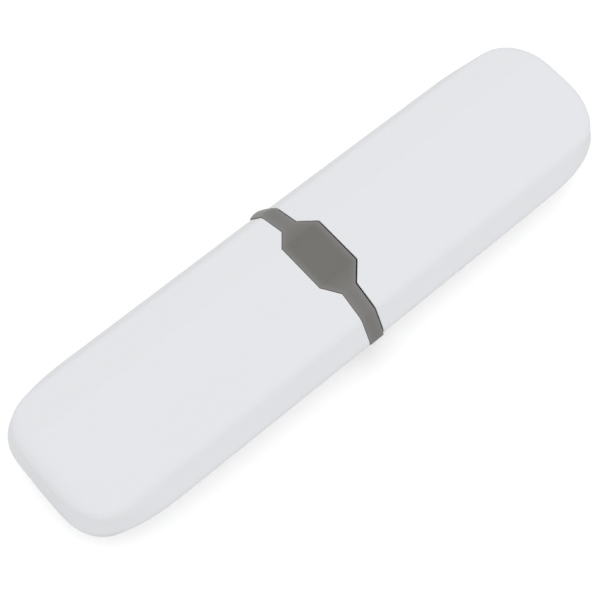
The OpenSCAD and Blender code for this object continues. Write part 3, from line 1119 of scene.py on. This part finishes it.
@dataclass(frozen=True)
class Latch:
    """The release button in the belt's side, the plate behind it and their holes in the neck."""

    collar: Collar
    proud: float = 0.85
    crown_fall: float = 0.6
    depth: float = 0.8
    end_power: float = 4.0
    stem_length: float = 2.4
    stem_height: float = 3.6
    plate: float = 1.4
    plate_height: float = 5.0
    tail: float = 3.0
    plate_gap: float = 0.3
    catch_reach: float = 5.5
    catch_length: float = 2.5
    catch_height: float = 3.6
    catch_bite: float = 0.5
    clear: float = 0.4
    part_gap: float = 0.65
    travel: float = 1.1
    hole_margin: float = 1.0
    plate_rounding: float = 0.15
    end_steps: int = 10
    crown_steps: int = 10

    @property
    def lean(self) -> float:
        """Draw-in of the case's sides for each millimetre away from mid height."""
        return (FORM.width - FORM.shoulder_width) / 2 / FORM.ridge_z

    @property
    def plate_y(self) -> float:
        """Y of the plate's outer face."""
        bore = FORM.cap_narrow * FORM.corners(self.collar.bore_depth)[Corner.SIDE][0]
        return bore - self.lean * self.plate_height / 2 - self.plate_gap

    @property
    def catch_x(self) -> float:
        """X where the catch starts."""
        return FORM.belt_width / 2 + self.part_gap + self.catch_reach

    @property
    def catch_top(self) -> float:
        """Y of the catch's tip."""
        wall = FORM.cap_narrow * FORM.corners(self.collar.wall)[Corner.SIDE][0]
        return wall - self.lean * self.catch_height / 2 + self.catch_bite

    def block(self, part: MeshPart, x: tuple[float, float], y: tuple[float, float],
              height: float) -> None:
        """Adds a block centred on mid height.

        Args:
            part: The mesh that it is added to.
            x: Its ends along the case.
            y: Its ends across the case.
            height: Its height.
        """
        low, high = FORM.half_height - height / 2, FORM.half_height + height / 2
        part.block((x[0], y[0], low), (x[1], y[1], high))

    def holes(self) -> bpy.types.Object:
        """Makes the shapes that the stem's and the catch's holes cut out of the neck.

        Returns:
            Both blocks as one tool.
        """
        part = MeshPart()
        stem = self.stem_length / 2 + self.clear
        inner, outer = self.plate_y - self.hole_margin, FORM.width / 2
        self.block(part, (-stem, stem), (inner, outer), self.stem_height + 2 * self.clear)
        self.block(part, (self.catch_x - self.clear, self.catch_x + self.catch_length + self.clear),
                   (inner, outer), self.catch_height + 2 * self.clear)
        return part.build("holes")

    def groove(self) -> bpy.types.Object:
        """Makes the shape that the catch's groove cuts out of the cap.

        Returns:
            The block as a tool.
        """
        part = MeshPart()
        self.block(part, (0, self.catch_x + self.catch_length + self.clear),
                   (0, self.catch_top + self.clear), self.catch_height + 2 * self.clear)
        return part.build("groove")

    def side_path(self, half: float) -> np.ndarray:
        """Where the button has points up the belt's side.

        Args:
            half: Half of the button's height.

        Returns:
            Shares of the flat between the side corner and the ridge.
        """
        high = FORM.arc(Corner.SIDE, 0.0, FORM.crisp_radius)[-1]
        next_low = FORM.arc(Corner.RIDGE, 0.0, FORM.crisp_radius)[0]
        end = (half - high[1]) / (next_low[1] - high[1])
        return end * np.linspace(0, 1, self.end_steps + 1)[1:]

    def head(self, part: MeshPart) -> None:
        """Adds the button's head, whose crown stands proud of the belt.

        Args:
            part: The mesh that it is added to.
        """
        half = self.collar.button_height / 2
        shares = self.side_path(half)

        def path(depth: float) -> np.ndarray:
            """The belt's side between the button's ends.

            Args:
                depth: Depth under the belt's surface.

            Returns:
                Points as (Y, Z) rows, from the lower end to the upper one.
            """
            arc = FORM.arc(Corner.SIDE, depth, FORM.crisp_radius)
            ahead = FORM.arc(Corner.RIDGE, depth, FORM.crisp_radius)[0]
            behind = FORM.arc(Corner.LOW_RIDGE, depth, FORM.crisp_radius)[-1]
            up = arc[-1] + (ahead - arc[-1]) * shares[:, None]
            down = arc[0] + (behind - arc[0]) * shares[::-1, None]
            return np.concatenate([down, arc, up])

        outer, unit_out = path(0.0), path(-1.0) - path(0.0)
        inner = path(self.depth)
        inner[:, 1] = outer[:, 1]
        rise = 1 - (np.abs(outer[:, 1]) / half) ** self.end_power
        long = FORM.belt_width / 2 - self.collar.button_clear
        rings = []
        for share in np.linspace(-1, 1, 2 * self.crown_steps + 1):
            crown = self.proud * (1 - self.crown_fall * share * share)
            top = outer + unit_out * (crown * rise)[:, None]
            loop = np.concatenate([top, inner[::-1]])
            x = np.full(len(loop), share * long)
            rings.append(np.column_stack([x, loop + [0.0, FORM.half_height]]))
        count = len(outer)
        part.grid(np.array(rings), closed=True)
        for ring in (rings[0], rings[-1]):
            part.grid(np.array([ring[:count], ring[:count - 1:-1]]))

    def button(self, name: str) -> bpy.types.Object:
        """Makes the release button with its stem.

        Args:
            name: Name of the piece.

        Returns:
            The piece.
        """
        head = MeshPart()
        self.head(head)
        stem = MeshPart()
        back = FORM.corners(self.depth)[Corner.SIDE][0]
        half = self.stem_length / 2
        self.block(stem, (-half, half), (self.plate_y, back), self.stem_height)
        return joined(head.build(name), stem.build("stem"), Join.ADD)

    def plate_piece(self, name: str) -> bpy.types.Object:
        """Makes the plate with its catch.

        Args:
            name: Name of the piece.

        Returns:
            The piece.
        """
        plate = MeshPart()
        end = self.catch_x + self.catch_length
        low = self.plate_y - self.plate
        self.block(plate, (-self.stem_length / 2 - self.tail, end), (low, self.plate_y),
                   self.plate_height)
        catch = MeshPart()
        self.block(catch, (self.catch_x, end), (low + self.plate / 2, self.catch_top),
                   self.catch_height)
        return softened(joined(plate.build(name), catch.build("catch"), Join.ADD), self.plate_rounding)

    def flatten(self, spring: bpy.types.Object) -> None:
        """Gives the leaf spring its own copy of its mesh.

        Args:
            spring: The spring, with its final mesh.
        """
        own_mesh(spring)


@dataclass(frozen=True)
class Seal:
    """The soft ring in the neck's groove."""

    collar: Collar
    proud: float = 0.2
    corner: float = 0.3
    corner_steps: int = 4

    def build(self, name: str, finish: bpy.types.Material) -> bpy.types.Object:
        """Makes the ring, swept along the neck's section.

        Args:
            name: Name of the piece.
            finish: Its material.

        Returns:
            The ring, in its groove.
        """
        collar = self.collar
        thick = collar.seal_groove + self.proud
        middle = collar.neck_depth - self.proud + thick / 2
        loop = FORM.run(list(range(FORM.corner_count)), middle, FORM.deep_radii(middle), {})
        loop[:, 0] *= FORM.cap_narrow
        shape = NodeShape(name, {
            "Depth": thick * MM, "Width": collar.seal_width * MM, "Corner": self.corner * MM,
            "Across": (collar.neck_length - collar.seal_edge - collar.seal_width / 2) * MM,
            "Lift": FORM.half_height * MM,
        })
        path = shape.node("GeometryNodeMeshToCurve", {"Mesh": shape.start.outputs["Geometry"]})
        ring = shape.sweep(path.outputs["Curve"], self.corner_steps)
        return shape.build(ring, finish, closed_path(loop))


@dataclass(frozen=True)
class Cushions:
    """The soft bands in the cradle's saddles, under the handle."""

    count: int = 3
    first_x: float = -100.8
    pitch: float = 41.4
    radius: float = 14.1
    thick: float = 1.0
    band: float = 8.0
    angle: float = 140.0
    corner: float = 0.4
    arc_steps: int = 49
    corner_steps: int = 4

    def build(self, name: str, finish: bpy.types.Material) -> bpy.types.Object:
        """Makes the bands: one arc, repeated along the cradle.

        Args:
            name: Name of the piece.
            finish: Its material.

        Returns:
            The bands as one piece of separate solids.
        """
        down = -90.0
        shape = NodeShape(name, {
            "Depth": self.thick * MM, "Width": self.band * MM, "Corner": self.corner * MM,
            "Across": self.first_x * MM, "Lift": FORM.half_height * MM,
            "Radius": (self.radius - self.thick / 2) * MM, "Angle": math.radians(self.angle),
            "Start": math.radians(down - self.angle / 2), "Count": self.count, "Pitch": self.pitch * MM,
        })
        arc = shape.node("GeometryNodeCurveArc",
                         {"Resolution": self.arc_steps, "Radius": shape.size("Radius"),
                          "Start Angle": shape.size("Start"), "Sweep Angle": shape.size("Angle")})
        band = shape.sweep(arc.outputs["Curve"], self.corner_steps)
        step = shape.node("ShaderNodeCombineXYZ", {"X": shape.size("Pitch")})
        row = shape.node("GeometryNodeMeshLine",
                         {"Count": shape.size("Count"), "Offset": step.outputs["Vector"]})
        bands = shape.node("GeometryNodeInstanceOnPoints",
                           {"Points": row.outputs["Mesh"], "Instance": band})
        return shape.build(bands.outputs["Instances"], finish, bpy.data.meshes.new(name))


@dataclass(frozen=True)
class Studio:
    """The floor, the light and the camera."""

    focal: float = 1536.0
    image: float = 600.0
    sensor: float = 36.0
    azimuth: float = -137.72
    elevation: float = 64.39
    roll: float = 6.76
    place: tuple[float, float, float] = (-177.64, -155.39, 489.09)
    world: float = 0.98
    key_power: float = 0.35
    key_size: float = 0.8
    key_place: tuple[float, float, float] = (0.55, -0.7, 0.9)
    floor_base: float = 0.2
    floor_shade: float = 1.0
    floor_lit: float = 0.77
    floor_reach: float = 2500.0
    clip: tuple[float, float] = (0.01, 20.0)

    def camera(self) -> None:
        """Sets the camera at the photograph's place and angle."""
        across, up = math.radians(self.azimuth), math.radians(self.elevation)
        back = Vector((math.cos(up) * math.cos(across), math.cos(up) * math.sin(across), math.sin(up)))
        level = Vector((0, 0, 1)).cross(back).normalized()
        rise = back.cross(level)
        c, s = math.cos(math.radians(self.roll)), math.sin(math.radians(self.roll))
        right, top = c * level + s * rise, -s * level + c * rise
        data = bpy.data.cameras.new("camera")
        data.lens = self.focal / self.image * self.sensor
        data.sensor_width = self.sensor
        data.clip_start, data.clip_end = self.clip
        camera = bpy.data.objects.new("camera", data)
        turn = Matrix((right, top, back)).transposed().to_4x4()
        camera.matrix_world = Matrix.Translation(Vector(self.place) * MM) @ turn
        bpy.context.scene.collection.objects.link(camera)
        bpy.context.scene.camera = camera

    def sky(self) -> None:
        """Sets an even white surround, pure white where the camera, gloss or glass sees it."""
        world = bpy.data.worlds.new("surround")
        world.use_nodes = True
        tree = world.node_tree
        plain = tree.nodes["Background"]
        plain.inputs["Color"].default_value = WHITE
        plain.inputs["Strength"].default_value = self.world
        seen = tree.nodes.new("ShaderNodeBackground")
        seen.inputs["Color"].default_value = WHITE
        rays = tree.nodes.new("ShaderNodeLightPath")
        mix = tree.nodes.new("ShaderNodeMixShader")
        factor = rays.outputs["Is Camera Ray"]
        for kind in ("Is Glossy Ray", "Is Transmission Ray"):
            either = tree.nodes.new("ShaderNodeMath")
            either.operation = "MAXIMUM"
            tree.links.new(factor, either.inputs[0])
            tree.links.new(rays.outputs[kind], either.inputs[1])
            factor = either.outputs["Value"]
        tree.links.new(factor, mix.inputs["Fac"])
        tree.links.new(plain.outputs["Background"], mix.inputs[1])
        tree.links.new(seen.outputs["Background"], mix.inputs[2])
        tree.links.new(mix.outputs["Shader"], tree.nodes["World Output"].inputs["Surface"])
        bpy.context.scene.world = world

    def lamp(self, name: str, at: tuple[float, float, float], size: float, power: float) -> None:
        """Adds a square soft lamp that faces the case.

        Args:
            name: Name of the lamp.
            at: Its place, in metres.
            size: Length of its sides, in metres.
            power: Its power in watts.
        """
        data = bpy.data.lights.new(name, "AREA")
        data.shape = "SQUARE"
        data.size = size
        data.energy = power
        lamp = bpy.data.objects.new(name, data)
        lamp.matrix_world = (Matrix.Translation(at)
                             @ Vector(at).to_track_quat("Z", "Y").to_matrix().to_4x4())
        bpy.context.scene.collection.objects.link(lamp)

    def floor(self) -> None:
        """Adds the pale floor, white where nothing shades it."""
        part = MeshPart()
        ends = (-self.floor_reach, self.floor_reach)
        part.grid(np.array([[(x, y, 0) for x in ends] for y in ends]))
        floor = part.build("floor")
        material = bpy.data.materials.new("floor")
        material.use_nodes = True
        tree = material.node_tree
        tree.nodes.remove(tree.nodes["Principled BSDF"])
        lit = tree.nodes.new("ShaderNodeBsdfDiffuse")
        lit.inputs["Color"].default_value = (self.floor_lit,) * 3 + (1,)
        shade = tree.nodes.new("ShaderNodeBsdfDiffuse")
        shade.inputs["Color"].default_value = (self.floor_shade,) * 3 + (1,)
        glow = tree.nodes.new("ShaderNodeEmission")
        glow.inputs["Strength"].default_value = self.floor_base
        seen = tree.nodes.new("ShaderNodeAddShader")
        rays = tree.nodes.new("ShaderNodeLightPath")
        mix = tree.nodes.new("ShaderNodeMixShader")
        tree.links.new(shade.outputs["BSDF"], seen.inputs[0])
        tree.links.new(glow.outputs["Emission"], seen.inputs[1])
        tree.links.new(rays.outputs["Is Camera Ray"], mix.inputs["Fac"])
        tree.links.new(lit.outputs["BSDF"], mix.inputs[1])
        tree.links.new(seen.outputs["Shader"], mix.inputs[2])
        tree.links.new(mix.outputs["Shader"], tree.nodes["Material Output"].inputs["Surface"])
        floor.data.materials.append(material)

    def build(self) -> None:
        """Sets up the camera, the surround, the lamps and the floor."""
        self.camera()
        self.sky()
        self.lamp("key", self.key_place, self.key_size, self.key_power)
        self.floor()
        bpy.context.scene.view_settings.view_transform = "Standard"


def main() -> None:
    """Builds the studio and every piece of the case."""
    logging.basicConfig(level=logging.INFO, format="%(name)s: %(message)s")
    Studio().build()
    white, grey, inner, dark, steel = (
        finish.build() for finish in (WHITE_SHELL, GREY_COLLAR, WHITE_INNER, SOFT_DARK, SPRING_STEEL)
    )
    collar = Collar()
    latch = Latch(collar)
    body = Shell(Half.BODY, collar.body_gap).build("body_shell_skin")
    dress(evened(body), white, "white_shell", "case_body", "body_shell")
    lid = Shell(Half.CAP, latch.part_gap, inner_chamfer=0.9, mouth_lean=0.35)
    cap = joined(lid.build("cap_shell_skin"), latch.groove(), Join.CUT)
    dress(evened(cap), white, "white_shell", "cap", "cap_shell")
    belt = joined(collar.build("belt_and_neck"), latch.holes(), Join.CUT)
    # The belt and the button get painted highlight along the belt's edges and on their shoulders and
    # sides.
    dress(collar.shade(evened(belt)), grey, "grey_collar", "case_body", "belt_collar")
    button = collar.shade(evened(latch.button("side_button")))
    dress(button, grey, "grey_collar", "button", "release_button")
    dress(latch.plate_piece("latch_bar"), grey, "grey_collar", "button", "latch_plate")
    seal = Seal(collar).build("seal_ring", dark)
    dress(seal, dark, "soft_dark", "case_body", "neck_seal")
    cushions = Cushions().build("cradle_cushions", dark)
    dress(cushions, dark, "soft_dark", "case_body", "cradle_pads")
    spring = dressed_copy("button_spring", "leaf_spring", width=0.05)
    latch.flatten(dress(spring, steel, "spring_steel", "case_body", "button_spring"))
    for node, name, rounding, finish, slot, rider in (
        ("handle_cradle", "cradle", 0.25, inner, "white_inner", "case_body"),
        ("base_pad", "base_cushion", 0.5, dark, "soft_dark", "case_body"),
        ("head_rack", "bulkhead", 0.25, inner, "white_inner", "cap"),
        ("shaft_cup", "shaft_socket", 0.3, dark, "soft_dark", "cap"),
    ):
        dress(dressed_copy(node, name, rounding), finish, slot, rider, node)


if __name__ == "__main__":
    main()
